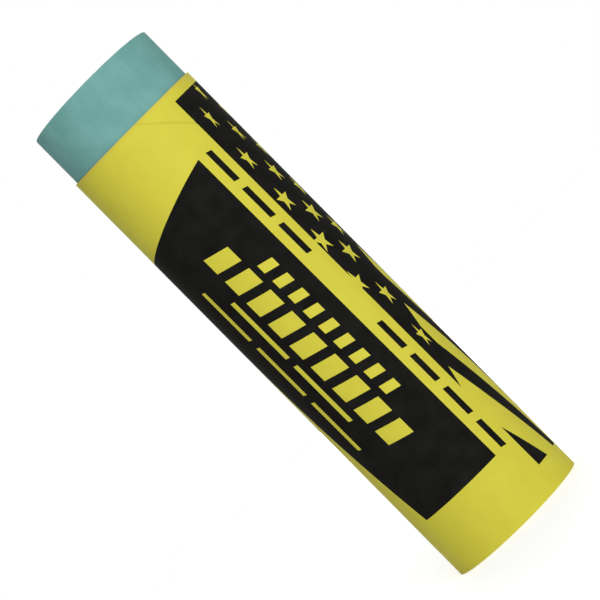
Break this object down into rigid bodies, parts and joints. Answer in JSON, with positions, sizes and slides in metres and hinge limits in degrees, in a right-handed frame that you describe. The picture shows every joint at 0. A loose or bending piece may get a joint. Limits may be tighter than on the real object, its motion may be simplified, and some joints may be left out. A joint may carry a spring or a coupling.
{
  "type": "solid paint marker",
  "caption": "Round stick of solid turquoise paint in a spiral-wound paper sleeve with a yellow and black printed label, bare at the tip, for marking rough or wet surfaces by hand.",
  "frame": {"origin": "middle of the flat base end, on the marker's axis", "axes": "+Z along the marker's axis from the base to the bare paint tip; the printed front panel faces -Y, and the star band faces +X"},
  "size_m": [0.0294, 0.0293, 0.112],
  "materials": {
    "paint": "waxy solid paint, dull and slightly mottled",
    "tube_paper": "raw wound paper, seen only at the cut ends",
    "label_paper": "printed yellow label paper, satin",
    "black_ink": "black print on label paper, satin"
  },
  "bodies": {
    "root": {"paint_stick": "paint", "paper_tube": "tube_paper", "label": "label_paper", "panel_print": "black_ink", "star_band_print": "black_ink", "strip_print": "black_ink"}
  },
  "joints": []
}
